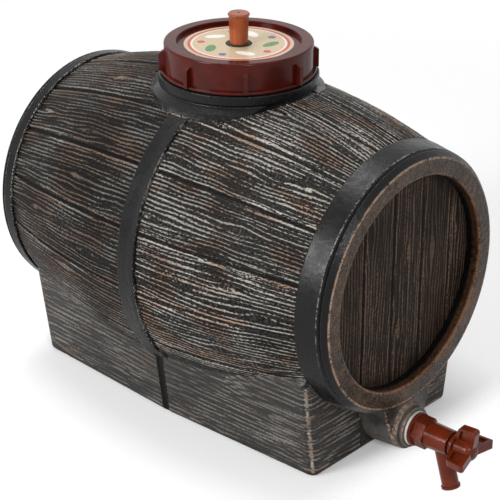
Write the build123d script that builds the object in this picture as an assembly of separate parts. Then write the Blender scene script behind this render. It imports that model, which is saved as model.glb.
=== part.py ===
from build123d import *

import os
from math import asin, cos, degrees, radians, sin, sqrt, tan

# All sizes in millimetres, all angles in degrees.
# The barrel lies along Y with its tap end towards -Y. The origin is the middle of the base's underside.

# Roundings and cuts that repeat
edge_break = 0.8
fine_edge_break = 0.6
rubber_edge_break = 0.5
cut_overrun = 1.0  # of a hole past the face it opens in
edge_pick = 0.01  # within which an edge lies in a plane

# Barrel
barrel_length = 454.0
belly_radius = 162.5
belly_radius_drop = 28.0  # from the middle to the front end hoop
belly_floor_gap = 18.5
wall = 3.6

# Ends of the staves and the recessed heads
chime_drop = 7.0  # below the staves' ends
chime_width = 18.0
chime_bevel = 5.5  # rise of the bevelled stave ends
chime_bevel_length = 6.0
chime_groove = 2.0  # step between stave ends and end hoop
head_recess = 16.0
edge_rounding = 2.6

# Hoops
end_hoop_rise = 3.1  # above the ends of the staves
end_hoop_outer_drop = 0.8  # of its outer edge below the staves' ends
end_hoop_gap = 10.0  # from the barrel's end to the hoop's outer edge
front_hoop_width = 24.0
back_hoop_width = 11.0
middle_hoop_width = 22.5
middle_hoop_rise = 3.8
hoop_rounding = 1.2

# Seams between the staves and between the head planks
stave_seam_pitch = 22.5
stave_seams_per_side = 6
seam_half_width = 2.2
seam_depth = 1.8
plank_seam_places = (-57.0, -12.0, 33.0, 78.0)
plank_seam_depth = 1.5
seam_end_gap = 0.5
plank_seam_end_gap = 1.5

# Base
base_setback = 30.0  # from the barrel's ends
base_foot_half_width = 108.0
base_swell = 4.0  # extra half width in the middle
base_back_narrowing = 9.0
base_side_height = 105.0
base_shoulder = 12.0
base_draft = 8.0
base_corner_rounding = 9.0
base_bottom_rounding = 4.0
side_groove_radius = 5.0
side_groove_depth = 2.6
side_groove_height = 74.0

# Boss that carries the tap
tap_height = 26.0
boss_top_gap = 2.5  # below the chime's inner edge
boss_front_radius = 25.0
boss_front_flare = 20.0
boss_back_radius = 36.0
boss_back_flare = 24.0
boss_root_depth = 32.0
boss_rounding = 2.5
floor_gap = 1.0  # under boss and pad
pad_height = 5.5
pad_taper = 1.0
pad_step = 4.0
pad_step_height = 4.5
pad_wall = 8.0
nut_room = 21.3

# Neck and lid
neck_bore_radius = 62.0
neck_radius = 66.0
neck_rise = 25.5  # above the belly
shoulder_rise = 3.0
shoulder_radius = 80.8
shoulder_foot_radius = 88.0
shoulder_waist_radius = 79.3
shoulder_band_height = 9.0
shoulder_band_ramp = 2.0
shoulder_foot_drop = 8.0  # below the band
shoulder_foot_taper = 1.0
shoulder_room_drop = 12.0  # below the band, inside
gasket_thickness = 2.0
lid_gap = 0.1
disc_thickness = 3.0
disc_radius = 66.5
disc_skirt_depth = 9.0
disc_skirt_gap = 1.2
disc_skirt_wall = 2.8
disc_rib_count = 8
disc_rib_thickness = 2.0
disc_rib_depth = 4.0
label_radius = 55.0
label_thickness = 0.4
ring_opening_radius = 62.5
ring_top_thickness = 3.9
ring_top_radius = 75.0
ring_wall_inner_radius = 70.3
ring_wall_outer_radius = 74.6
ring_rim_radius = 77.8
ring_rim_height = 3.0
ring_shoulder_gap = 0.5
ring_top_rounding = 2.0
lug_count = 8
lug_phase = 2.0
lug_radius = 80.3
lug_width = 4.5
lug_top_gap = 6.5  # below the ring's top
lug_bevel = 5.0
lug_root_depth = 2.0  # of the lugs inside the ring's wall

# Vent plug and its bush
bush_bore_radius = 8.8
bush_neck_radius = 11.4
bush_flange_radius = 12.8
bush_lower_flange = 2.0
bush_upper_flange = 1.2
bush_hole_gap = 0.1
label_hole_gap = 0.6
plug_gap = 0.3
plug_tip_depth = 18.0  # below the bush's upper face
plug_tip_radius = 7.6
plug_shoulder_radius = 9.2
plug_waist_radius = 10.1
plug_head_radius = 11.3
plug_head_height = 31.0
plug_lip_height = 3.4
plug_vent_radius = 1.2

# Tap body
shank_radius = 13.1
shank_length = 33.5
shank_hole_gap = 0.4
outer_gasket_thickness = 2.5
outer_gasket_radius = 17.8
gasket_bore_gap = 0.3
tap_flange_radius = 17.5
tap_flange_thickness = 3.2
tap_hex_across = 28.5
tap_hex_length = 13.3
tap_barrel_radius = 13.7
tap_barrel_taper = 0.4
tap_barrel_length = 27.0
tap_barrel_flat = 13.0
passage_radius = 8.0
seat_radius = 6.5
seat_thickness = 4.0
seat_place = 21.0  # in front of the boss pad
chamber_radius = 10.2
inner_gasket_thickness = 2.5
inner_gasket_radius = 19.5
nut_across = 35.0
nut_thickness = 8.0
nut_bore_gap = 0.05
spout_place = 32.3  # in front of the boss pad
spout_tilt = 17.0
spout_length = 51.2
spout_radius = 8.7
spout_bore_radius = 6.4
spout_lip_radius = 9.7
spout_lip_width = 2.5

# Valve and handle
seal_radius = 8.8
seal_thickness = 3.0
seal_gap = 0.1
spindle_gap = 0.3
spindle_stem_radius = 4.0
spindle_screw_length = 11.0
o_ring_tube_radius = 0.95
o_ring_place = 3.6  # from the screw's inner end
o_ring_gap = 0.3
o_ring_side_gap = 0.1
drive_radius = 4.6
drive_length = 17.0
drive_gap = 0.1
handle_gap = 1.5  # between tap body and handle
collar_radius = 12.0
collar_length = 2.6
collar_ring_radius = 13.6
collar_ring_length = 2.4
hub_radius = 10.6
hub_length = 26.5
hub_tip_radius = 2.0
wing_count = 3
wing_spacing = 96.0  # from the first wing, which points to the right
wing_reach = 27.5
wing_back_reach = 26.0
wing_thickness = 8.0
wing_web = 2.4
wing_rim = 3.0
wing_back_slant = 6.5
wing_front_place = 29.5
wing_front_root = 25.0
wing_back_root = 3.5
wing_corner_rounding = 3.0
wing_pocket_rounding = 1.0

# Places that follow from the sizes above
half_length = barrel_length / 2
axis_height = belly_radius + belly_floor_gap
hoop_outer_place = half_length - end_hoop_gap
front_stave_end = hoop_outer_place - front_hoop_width
back_stave_end = hoop_outer_place - back_hoop_width
stave_end_radius = belly_radius - belly_radius_drop
bulge_radius = (front_stave_end**2 + belly_radius_drop**2) / (2 * belly_radius_drop)
bulge_middle = belly_radius - bulge_radius
head_place = half_length - head_recess
chime_outer_radius = stave_end_radius - chime_drop
chime_inner_radius = chime_outer_radius - chime_width
half_base = half_length - base_setback
boss_top = axis_height - chime_inner_radius - boss_top_gap
pad_face = half_length + pad_height + pad_step_height
flange_back = pad_face + outer_gasket_thickness
hex_back = flange_back + tap_flange_thickness
hex_front = hex_back + tap_hex_length
tap_front = hex_front + tap_barrel_length
seat_front = pad_face + seat_place + seat_thickness
nut_face = pad_face - pad_wall
screw_back = tap_front - spindle_screw_length
screw_radius = chamber_radius - spindle_gap
handle_back = tap_front + handle_gap
neck_top = belly_radius + neck_rise
shoulder_top = belly_radius + shoulder_rise
disc_bottom = neck_top + gasket_thickness
disc_top = disc_bottom + disc_thickness
ring_top = disc_top + lid_gap + ring_top_thickness
ring_bottom = shoulder_top + ring_shoulder_gap
bush_top = disc_top + bush_upper_flange
plug_radius = bush_bore_radius - plug_gap

barrel_place = Pos(0, 0, axis_height) * Rot(90, 0, 0)
tap_place = Pos(0, 0, tap_height) * Rot(90, 0, 0)
neck_place = Pos(0, 0, axis_height)


def outline_face(corners):
    """Closed face from (x, y, rounding) corners."""
    points = [(x, y) for x, y, rounding in corners]
    roundings = [rounding for x, y, rounding in corners]
    if not any(roundings):
        return make_face(Polyline(*points, close=True))
    return make_face(FilletPolyline(*points, radius=roundings, close=True))


def turned(corners):
    """Body of revolution about Z from (radius, height, rounding) corners."""
    return revolve(Plane.XZ * outline_face(corners), Axis.Z)


def washer(outer, inner, low, high):
    """Flat ring about Z."""
    return Pos(0, 0, low) * extrude(Circle(outer) - Circle(inner), high - low)


def belly_at(place, inset=0.0):
    """Radius of the staves at one distance from the barrel's middle."""
    return bulge_middle + sqrt((bulge_radius - inset) ** 2 - place**2)


def shell_end(stave_end, inset):
    """Outline of one end, (radius, distance from the middle), inset by a wall."""
    head = head_place - inset
    end = half_length - inset
    inner = chime_inner_radius + inset
    outer = chime_outer_radius - inset
    hoop_outer = stave_end_radius - end_hoop_outer_drop - inset
    staves = belly_at(stave_end, inset)
    if inset:
        return Polyline(
            (0, head), (inner, head), (inner, end), (outer, end), (hoop_outer, hoop_outer_place), (staves, stave_end)
        )
    lip = outer + chime_bevel
    lip_place = end - chime_bevel_length
    corners = [
        (0, head),
        (inner, head),
        (inner, end),
        (outer, end),
        (lip, lip_place),
        (lip - chime_groove, lip_place - chime_groove),
        (hoop_outer, hoop_outer_place),
        (staves + end_hoop_rise, stave_end + seam_end_gap),
        (staves, stave_end),
    ]
    roundings = [0.0, edge_rounding, edge_rounding, hoop_rounding, 0.0, hoop_rounding, hoop_rounding]
    return FilletPolyline(*corners, radius=roundings)


def barrel_solid(inset=0.0):
    """The barrel with recessed heads and end hoops, or the room inside it."""
    front = shell_end(front_stave_end, inset)
    back = mirror(shell_end(back_stave_end, inset), Plane.XZ)
    belly = ThreePointArc(front @ 1, (belly_radius - inset, 0), back @ 1)
    spine = Line(front @ 0, back @ 0)
    face = make_face([*front.edges(), belly.edge(), *back.edges(), spine.edge()])
    return barrel_place * revolve(Plane.XZ * face, Axis.Z)


def stave_seam(angle):
    """V groove that follows the belly at an angle from the top."""
    front_sweep = degrees(asin((front_stave_end - seam_end_gap) / bulge_radius))
    back_sweep = degrees(asin((back_stave_end - seam_end_gap) / bulge_radius))
    mouth = belly_radius + seam_end_gap
    spread = seam_half_width * (seam_depth + seam_end_gap) / seam_depth
    face = outline_face([(belly_radius - seam_depth, 0, 0), (mouth, spread, 0), (mouth, -spread, 0)])
    arc_axis = Axis((bulge_middle, 0, 0), (0, 1, 0))
    groove = revolve(face.rotate(arc_axis, -front_sweep), arc_axis, front_sweep + back_sweep)
    return barrel_place * Rot(0, 0, 90 - angle) * groove


def stave_seams():
    """The seams on both sides of the neck."""
    angles = [stave_seam_pitch * (index + 1 / 3) for index in range(stave_seams_per_side)]
    return [stave_seam(side * angle) for angle in angles for side in (-1, 1)]


def plank_seams():
    """Upright V grooves on both heads."""
    grooves = []
    for place in plank_seam_places:
        reach = sqrt(chime_inner_radius**2 - place**2) - plank_seam_end_gap
        mouth = head_place + seam_end_gap
        spread = seam_half_width * (plank_seam_depth + seam_end_gap) / plank_seam_depth
        tip = head_place - plank_seam_depth
        face = outline_face([(place, tip, 0), (place + spread, mouth, 0), (place - spread, mouth, 0)])
        groove = extrude(Plane.XZ * face, amount=reach, both=True)
        grooves += [barrel_place * groove, barrel_place * mirror(groove, Plane.XY)]
    return grooves


def middle_hoop():
    """Raised band round the belly."""
    half = middle_hoop_width / 2
    inner = belly_radius - wall
    outer = belly_radius + middle_hoop_rise
    corners = [(inner, -half, 0), (outer, -half, hoop_rounding), (outer, half, hoop_rounding), (inner, half, 0)]
    return barrel_place * turned(corners)


def base_section(place, inset):
    """Outline of the base across the barrel at one place along it."""
    foot = base_foot_half_width
    if place == 0:
        foot += base_swell
    if place > 0:
        foot -= base_back_narrowing
    slope = tan(radians(base_draft))
    shift = inset / cos(radians(base_draft))
    low = foot + inset * slope - shift
    high = foot + base_side_height * slope - shift
    top = base_side_height + base_shoulder - inset
    points = [(-low, inset), (low, inset), (high, base_side_height), (high - base_shoulder, top)]
    points += [(base_shoulder - high, top), (-high, base_side_height)]
    return Pos(0, place, 0) * (Plane.XZ * make_face(Polyline(*points, close=True)))


def base_solid(inset=0.0):
    """The base under the barrel, or the room inside it."""
    end = half_base - inset
    block = loft([base_section(place, inset) for place in (-end, 0, end)], ruled=True)
    uprights = [
        edge
        for edge in block.edges()
        if abs(abs(edge.center().Y) - end) < edge_pick
        and inset + edge_pick < edge.center().Z < base_side_height - edge_pick
    ]
    block = fillet(uprights, base_corner_rounding - inset)
    if inset:
        return block
    underside = block.faces().sort_by(Axis.Z)[0]
    return fillet(underside.edges(), base_bottom_rounding)


def side_groove(side, radius):
    """Upright round groove in the middle of the base's side."""
    foot = base_foot_half_width + base_swell + side_groove_radius - side_groove_depth
    length = side_groove_height + radius - side_groove_radius
    groove = Pos(0, 0, length / 2 - axis_height / 2) * Cylinder(radius, length + axis_height)
    return Pos(side * foot, 0, 0) * Rot(0, side * base_draft, 0) * groove


def boss_section(place, inset):
    """Outline of the tap boss at one distance in front of the barrel's middle."""
    share = (half_length - place) / boss_root_depth
    radius = boss_front_radius + share * (boss_back_radius - boss_front_radius)
    flare = radians(boss_front_flare + share * (boss_back_flare - boss_front_flare))
    middle = floor_gap + radius
    radius -= inset
    top = boss_top - inset
    side_x = radius * cos(flare)
    side_z = middle - radius * sin(flare)
    top_x = side_x + (top - side_z) * tan(flare)
    bottom = ThreePointArc((-side_x, side_z), (0, middle - radius), (side_x, side_z))
    sides = Polyline((side_x, side_z), (top_x, top), (-top_x, top), (-side_x, side_z))
    face = make_face([bottom.edge(), *sides.edges()])
    return Pos(0, -place, 0) * (Plane.XZ * face)


def boss_solid():
    """The boss that joins base, front chime and tap."""
    sections = [boss_section(half_length - boss_root_depth, 0), boss_section(half_length, 0)]
    block = loft(sections, ruled=True)
    rim = [
        edge
        for edge in block.edges()
        if abs(edge.center().Y + half_length) < edge_pick and edge.center().Z < boss_top - edge_pick
    ]
    return fillet(rim, boss_rounding)


def boss_room():
    """The room inside the boss."""
    back = half_length - boss_root_depth - 2 * wall
    return loft([boss_section(back, wall), boss_section(half_length - wall, wall)], ruled=True)


def tap_pad():
    """Stepped round pad that the tap is screwed against."""
    root = half_length - wall
    step = half_length + pad_height
    outer = boss_front_radius - pad_taper
    inner = boss_front_radius - pad_step
    corners = [
        (0, root, 0),
        (boss_front_radius, root, 0),
        (boss_front_radius, half_length, 0),
        (outer, step, hoop_rounding),
        (inner, step, 0),
        (inner, pad_face, hoop_rounding),
        (0, pad_face, 0),
    ]
    return tap_place * turned(corners)


def tap_seat_cuts():
    """Room for the nut and the hole for the tap's shank."""
    room = Pos(0, 0, half_length - boss_root_depth) * extrude(
        Circle(nut_room), nut_face - half_length + boss_root_depth
    )
    hole = Pos(0, 0, half_length - boss_root_depth) * extrude(
        Circle(shank_radius + shank_hole_gap), pad_face - half_length + boss_root_depth + cut_overrun
    )
    return [tap_place * room, tap_place * hole]


def neck_solid():
    """Shoulder and neck on top of the belly."""
    root = belly_radius / sqrt(2)
    band_low = shoulder_top - shoulder_band_height
    corners = [
        (0, root, 0),
        (shoulder_foot_radius, root, 0),
        (shoulder_foot_radius - shoulder_foot_taper, band_low - shoulder_foot_drop, 0),
        (shoulder_waist_radius, band_low - shoulder_band_ramp, hoop_rounding),
        (shoulder_radius, band_low, hoop_rounding),
        (shoulder_radius, shoulder_top, hoop_rounding),
        (neck_radius, shoulder_top, 0),
        (neck_radius, neck_top, edge_break),
        (0, neck_top, 0),
    ]
    return neck_place * turned(corners)


def neck_room():
    """Mouth and the room inside the shoulder."""
    root = belly_radius / sqrt(2)
    band_low = shoulder_top - shoulder_band_height
    ceiling = shoulder_top - wall
    foot = shoulder_foot_radius - wall
    corners = [
        (0, root, 0),
        (foot, root, 0),
        (foot - shoulder_foot_taper, band_low - shoulder_room_drop, 0),
        (shoulder_waist_radius - wall, band_low - shoulder_band_ramp, 0),
        (shoulder_waist_radius - wall, ceiling, 0),
        (neck_bore_radius, ceiling, 0),
        (neck_bore_radius, neck_top + cut_overrun, 0),
        (0, neck_top + cut_overrun, 0),
    ]
    return neck_place * turned(corners)


def make_barrel_body():
    """Barrel, heads, hoops, base, boss and neck as one hollow piece."""
    body = barrel_solid() - [*stave_seams(), *plank_seams()]
    for shape in (middle_hoop(), base_solid(), boss_solid(), tap_pad(), neck_solid()):
        body += shape
    body -= [side_groove(side, side_groove_radius) for side in (-1, 1)]
    room = barrel_solid(wall) + base_solid(wall) + boss_room() + neck_room()
    room -= [side_groove(side, side_groove_radius + wall) for side in (-1, 1)]
    body -= room
    return body - tap_seat_cuts()


def make_lid_ring():
    """Screwed ring with grip lugs that holds the inner lid down."""
    corners = [
        (ring_opening_radius, disc_top + lid_gap, 0),
        (ring_wall_inner_radius, disc_top + lid_gap, 0),
        (ring_wall_inner_radius, ring_bottom, 0),
        (ring_rim_radius, ring_bottom, edge_break),
        (ring_rim_radius, ring_bottom + ring_rim_height, edge_break),
        (ring_wall_outer_radius, ring_bottom + ring_rim_height, 0),
        (ring_top_radius, ring_top, ring_top_rounding),
        (ring_opening_radius, ring_top, edge_break),
    ]
    ring = turned(corners)
    low = ring_bottom + ring_rim_height / 2
    high = ring_top - lug_top_gap
    root = ring_wall_inner_radius + lug_root_depth
    side = outline_face([(root, low, 0), (lug_radius, low, 0), (lug_radius, high - lug_bevel, 0), (root, high, 0)])
    lug = extrude(Plane.XZ * side, amount=lug_width / 2, both=True)
    lugs = [Rot(0, 0, lug_phase + 360 * index / lug_count) * lug for index in range(lug_count)]
    return neck_place * (ring + lugs)


def make_lid_disc():
    """Inner lid with a skirt inside the neck and ribs underneath."""
    skirt = neck_bore_radius - disc_skirt_gap
    plate = Pos(0, 0, disc_bottom) * extrude(Circle(disc_radius), disc_thickness)
    disc = plate + washer(skirt, skirt - disc_skirt_wall, disc_bottom - disc_skirt_depth, disc_bottom)
    rib_start = bush_flange_radius + disc_rib_thickness
    rib_length = skirt - disc_skirt_wall / 2 - rib_start
    rib = Pos(rib_start + rib_length / 2, 0, disc_bottom - disc_rib_depth / 2) * Box(
        rib_length, disc_rib_thickness, disc_rib_depth
    )
    disc += [Rot(0, 0, 360 * index / disc_rib_count) * rib for index in range(disc_rib_count)]
    disc -= Pos(0, 0, neck_top) * Cylinder(bush_neck_radius + bush_hole_gap, 4 * disc_thickness)
    return neck_place * disc


def make_lid_gasket():
    """Flat seal between neck and inner lid."""
    inner = neck_bore_radius - disc_skirt_gap + bush_hole_gap
    return neck_place * washer(neck_radius, inner, neck_top, disc_bottom)


def make_lid_label():
    """Round label on the inner lid."""
    inner = bush_flange_radius + label_hole_gap
    return neck_place * washer(label_radius, inner, disc_top, disc_top + label_thickness)


def make_plug_grommet():
    """Rubber bush in the inner lid's hole."""
    low = disc_bottom - bush_lower_flange
    corners = [
        (bush_bore_radius, low, 0),
        (bush_flange_radius, low, rubber_edge_break),
        (bush_flange_radius, disc_bottom, 0),
        (bush_neck_radius, disc_bottom, 0),
        (bush_neck_radius, disc_top, 0),
        (bush_flange_radius, disc_top, 0),
        (bush_flange_radius, bush_top, rubber_edge_break),
        (bush_bore_radius, bush_top, 0),
    ]
    return neck_place * turned(corners)


def make_vent_plug():
    """Push-in plug with a flared head and a small vent hole."""
    shoulder = bush_top + lid_gap
    head = bush_top + plug_head_height
    corners = [
        (plug_vent_radius, bush_top - plug_tip_depth, 0),
        (plug_tip_radius, bush_top - plug_tip_depth, edge_break),
        (plug_radius, bush_top - plug_tip_depth / 2, 0),
        (plug_radius, shoulder, 0),
        (plug_shoulder_radius, shoulder, 0),
        (plug_waist_radius, head - plug_lip_height, 0),
        (plug_head_radius, head - plug_lip_height / 2, edge_break),
        (plug_waist_radius, head, edge_break),
        (plug_vent_radius, head, 0),
    ]
    return neck_place * turned(corners)


def spout(radius, start, end):
    """Cylinder on the spout's axis, from and to a distance from the tap's axis."""
    rod = Pos(0, 0, start) * extrude(Circle(radius), end - start)
    return Pos(0, -pad_face - spout_place, tap_height) * Rot(180 - spout_tilt, 0, 0) * rod


def make_tap_body():
    """Tap with shank, flange, hexagon and spout."""
    body = turned(
        [
            (0, nut_face - shank_length + pad_wall, 0),
            (shank_radius, nut_face - shank_length + pad_wall, edge_break),
            (shank_radius, flange_back, 0),
            (tap_flange_radius, flange_back, fine_edge_break),
            (tap_flange_radius, hex_back, fine_edge_break),
            (0, hex_back, 0),
        ]
    )
    hexagon = RegularPolygon(tap_hex_across / 2, 6, major_radius=False)
    body += Pos(0, 0, hex_back) * extrude(hexagon, tap_hex_length)
    barrel = turned(
        [
            (0, hex_front, 0),
            (tap_barrel_radius, hex_front, 0),
            (tap_barrel_radius - tap_barrel_taper, tap_front, edge_break),
            (0, tap_front, 0),
        ]
    )
    flats = Box(2 * tap_barrel_flat, 4 * tap_barrel_radius, 4 * tap_front)
    body += barrel & flats
    body = tap_place * body
    body += [
        spout(spout_radius, chamber_radius / 2, spout_length),
        spout(spout_lip_radius, spout_length - spout_lip_width, spout_length),
    ]
    cuts = [
        Cylinder(passage_radius, 2 * (seat_front - seat_thickness)),
        Cylinder(seat_radius, 2 * (seat_front + cut_overrun)),
        Pos(0, 0, seat_front) * extrude(Circle(chamber_radius), tap_front),
    ]
    body -= [tap_place * cut for cut in cuts]
    return body - spout(spout_bore_radius, 0, spout_length + cut_overrun)


def make_tap_outer_gasket():
    """Seal between the tap's flange and the pad."""
    inner = shank_radius + gasket_bore_gap
    return tap_place * washer(outer_gasket_radius, inner, pad_face, flange_back)


def make_tap_inner_gasket():
    """Seal between the nut and the boss wall."""
    inner = shank_radius + gasket_bore_gap
    return tap_place * washer(inner_gasket_radius, inner, nut_face - inner_gasket_thickness, nut_face)


def make_tap_nut():
    """Hexagon nut on the shank."""
    front = nut_face - inner_gasket_thickness
    hexagon = RegularPolygon(nut_across / 2, 6, major_radius=False) - Circle(shank_radius + nut_bore_gap)
    return tap_place * Pos(0, 0, front - nut_thickness) * extrude(hexagon, nut_thickness)


def make_valve_seal():
    """Disc that closes the seat."""
    back = seat_front + seal_gap
    corners = [
        (0, back, 0),
        (seal_radius, back, rubber_edge_break),
        (seal_radius, back + seal_thickness, rubber_edge_break),
        (0, back + seal_thickness, 0),
    ]
    return tap_place * turned(corners)


def make_valve_spindle():
    """Spindle with its screw, a groove for the ring and the drive for the handle."""
    back = seat_front + 2 * seal_gap + seal_thickness
    ring_place = screw_back + o_ring_place
    groove_half = o_ring_tube_radius + o_ring_side_gap
    groove_radius = screw_radius - 2 * o_ring_tube_radius
    corners = [
        (0, back, 0),
        (spindle_stem_radius, back, 0),
        (spindle_stem_radius, screw_back, 0),
        (screw_radius, screw_back, fine_edge_break),
        (screw_radius, ring_place - groove_half, 0),
        (groove_radius, ring_place - groove_half, 0),
        (groove_radius, ring_place + groove_half, 0),
        (screw_radius, ring_place + groove_half, 0),
        (screw_radius, tap_front, 0),
        (drive_radius, tap_front, 0),
        (drive_radius, tap_front + drive_length, fine_edge_break),
        (0, tap_front + drive_length, 0),
    ]
    return tap_place * turned(corners)


def make_spindle_o_ring():
    """Round ring in the spindle's groove."""
    middle = chamber_radius - o_ring_gap - o_ring_tube_radius
    ring = Pos(0, 0, screw_back + o_ring_place) * Torus(middle, o_ring_tube_radius)
    return tap_place * ring


def wing():
    """One wing in the plane of X and Z, with a pocket in each side."""
    back = wing_back_root + wing_back_slant
    corners = [
        (drive_radius, wing_back_root, 0),
        (collar_ring_radius, wing_back_root, 0),
        (wing_back_reach, back, wing_corner_rounding),
        (wing_reach, wing_front_place, wing_corner_rounding),
        (drive_radius, wing_front_root, 0),
    ]
    blade = extrude(Plane.XZ * outline_face(corners), amount=wing_thickness / 2, both=True)
    root = hub_radius + wing_rim / 2
    pocket_face = outline_face(
        [
            (root, back - wing_rim / 2, wing_pocket_rounding),
            (wing_back_reach - wing_rim, back + wing_rim / 2, wing_pocket_rounding),
            (wing_reach - wing_rim, wing_front_place - 2 * wing_rim, wing_pocket_rounding),
            (root, wing_front_root - wing_rim, wing_pocket_rounding),
        ]
    )
    low = Pos(0, -wing_web / 2, 0) * extrude(Plane.XZ * pocket_face, amount=wing_thickness)
    return blade - [low, mirror(low, Plane.XZ)]


def make_tap_handle():
    """Three-winged handle with a domed hub."""
    ring_back = collar_length
    ring_front = collar_length + collar_ring_length
    corners = [
        (0, 0, 0),
        (collar_radius, 0, edge_break),
        (collar_radius, ring_back, 0),
        (collar_ring_radius, ring_back, 0),
        (collar_ring_radius, ring_front, edge_break),
        (hub_radius, ring_front, 0),
        (hub_radius, hub_length, hub_radius - hub_tip_radius),
        (0, hub_length, 0),
    ]
    blade = wing()
    wings = [Rot(0, 0, wing_spacing * index) * blade for index in range(wing_count)]
    handle = turned(corners) + wings
    socket = drive_length - handle_gap + drive_gap
    handle -= Pos(0, 0, -cut_overrun) * extrude(Circle(drive_radius + drive_gap), socket + cut_overrun)
    return tap_place * Pos(0, 0, handle_back) * handle


pieces = {
    "barrel_body": make_barrel_body,
    "lid_ring": make_lid_ring,
    "lid_disc": make_lid_disc,
    "lid_gasket": make_lid_gasket,
    "lid_label": make_lid_label,
    "plug_grommet": make_plug_grommet,
    "vent_plug": make_vent_plug,
    "tap_body": make_tap_body,
    "tap_outer_gasket": make_tap_outer_gasket,
    "tap_inner_gasket": make_tap_inner_gasket,
    "tap_nut": make_tap_nut,
    "valve_seal": make_valve_seal,
    "valve_spindle": make_valve_spindle,
    "spindle_o_ring": make_spindle_o_ring,
    "tap_handle": make_tap_handle,
}

os.makedirs("parts", exist_ok=True)
for name, make in pieces.items():
    export_step(make(), f"parts/{name}.step")
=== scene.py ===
from math import cos, pi, radians, sin

import bpy
import numpy as np
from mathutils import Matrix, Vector


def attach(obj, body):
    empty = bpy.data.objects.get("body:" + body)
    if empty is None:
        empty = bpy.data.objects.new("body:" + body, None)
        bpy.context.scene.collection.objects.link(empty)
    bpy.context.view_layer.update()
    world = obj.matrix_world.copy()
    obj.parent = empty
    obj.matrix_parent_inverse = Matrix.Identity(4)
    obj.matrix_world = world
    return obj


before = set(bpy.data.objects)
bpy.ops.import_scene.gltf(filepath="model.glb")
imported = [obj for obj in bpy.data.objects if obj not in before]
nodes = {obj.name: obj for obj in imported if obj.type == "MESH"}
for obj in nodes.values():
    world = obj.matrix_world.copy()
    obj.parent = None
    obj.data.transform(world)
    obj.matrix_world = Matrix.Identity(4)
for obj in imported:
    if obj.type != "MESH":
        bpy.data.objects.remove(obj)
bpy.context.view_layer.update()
millimetre = 0.001
print("frame loaded")

# Camera at the photograph's viewpoint

cameraView = {
    "target": (0.0, -0.0150, 0.1516),
    "azimuth": -47.85,  # degrees, 0 looks along +Y
    "elevation": 25.2,
    "distance": 1.8116,
    "focalPixels": 1734.5,  # in an image 500 pixels wide
    "imagePixels": 500,
    "sensorWidth": 36.0,
}


def directionTo(azimuth, elevation):
    around, level = radians(azimuth), cos(radians(elevation))
    return Vector((sin(around) * level, -cos(around) * level, sin(radians(elevation))))


def makeCamera():
    lens = bpy.data.cameras.new("camera")
    lens.sensor_width = cameraView["sensorWidth"]
    lens.lens = cameraView["focalPixels"] / cameraView["imagePixels"] * cameraView["sensorWidth"]
    camera = bpy.data.objects.new("camera", lens)
    back = directionTo(cameraView["azimuth"], cameraView["elevation"])
    camera.location = Vector(cameraView["target"]) + back * cameraView["distance"]
    camera.rotation_euler = back.to_track_quat("Z", "Y").to_euler()
    bpy.context.scene.collection.objects.link(camera)
    bpy.context.scene.camera = camera


makeCamera()
print("camera placed")

# Helpers for node materials: a value is a number or the output of another node

mixFirst, mixSecond, mixResult = 6, 7, 2  # sockets of a mix node that hold colours


def newMaterial(name, roughness, specular=0.5):
    material = bpy.data.materials.new(name)
    material.use_nodes = True
    tree = material.node_tree
    shader = tree.nodes["Principled BSDF"]
    shader.inputs["Roughness"].default_value = roughness
    shader.inputs["Specular IOR Level"].default_value = specular
    return material, tree, shader


def setInput(tree, socket, value):
    if isinstance(value, bpy.types.NodeSocket):
        tree.links.new(value, socket)
    else:
        socket.default_value = value


def maths(tree, operation, *values):
    node = tree.nodes.new("ShaderNodeMath")
    node.operation = operation
    for socket, value in zip(node.inputs, values):
        setInput(tree, socket, value)
    return node.outputs[0]


def product(tree, first, *others):
    for value in others:
        first = maths(tree, "MULTIPLY", first, value)
    return first


def largest(tree, first, *others):
    for value in others:
        first = maths(tree, "MAXIMUM", first, value)
    return first


def total(tree, first, *others):
    for value in others:
        first = maths(tree, "ADD", first, value)
    return first


def swingOf(tree, noise, height):
    # The noise's swing about its mean of a half, with the height given.
    return product(tree, maths(tree, "SUBTRACT", noise, 0.5), height)


def vectorMaths(tree, operation, *values):
    node = tree.nodes.new("ShaderNodeVectorMath")
    node.operation = operation
    for socket, value in zip(node.inputs, values):
        setInput(tree, socket, value)
    return node.outputs["Value"] if operation in ("LENGTH", "DISTANCE") else node.outputs[0]


def between(tree, value, low, high, outLow=0.0, outHigh=1.0):
    # A smooth step from outLow at low to outHigh at high.
    node = tree.nodes.new("ShaderNodeMapRange")
    node.interpolation_type = "SMOOTHSTEP"
    settings = {"Value": value, "From Min": low, "From Max": high, "To Min": outLow, "To Max": outHigh}
    for name, setting in settings.items():
        setInput(tree, node.inputs[name], setting)
    return node.outputs["Result"]


def band(tree, value, middle, half, soft):
    # 1 within half of the middle, going over into 0 within soft beyond that.
    away = maths(tree, "ABSOLUTE", maths(tree, "SUBTRACT", value, middle))
    return between(tree, away, half + soft, half)


def noiseOf(tree, vector, scale, detail, roughness, stretch=(1, 1, 1)):
    mapping = tree.nodes.new("ShaderNodeMapping")
    setInput(tree, mapping.inputs["Vector"], vector)
    mapping.inputs["Scale"].default_value = stretch
    noise = tree.nodes.new("ShaderNodeTexNoise")
    tree.links.new(mapping.outputs["Vector"], noise.inputs["Vector"])
    noise.inputs["Scale"].default_value = scale
    noise.inputs["Detail"].default_value = detail
    noise.inputs["Roughness"].default_value = roughness
    return noise.outputs["Fac"]


def blendColors(tree, share, first, second):
    node = tree.nodes.new("ShaderNodeMix")
    node.data_type = "RGBA"
    setInput(tree, node.inputs["Factor"], share)
    for index, color in ((mixFirst, first), (mixSecond, second)):
        opaque = color if isinstance(color, bpy.types.NodeSocket) else (*color, 1.0)
        setInput(tree, node.inputs[index], opaque)
    return node.outputs[mixResult]


def scaled(color, factor):
    return tuple(min(1.0, factor * part) for part in color)


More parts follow.
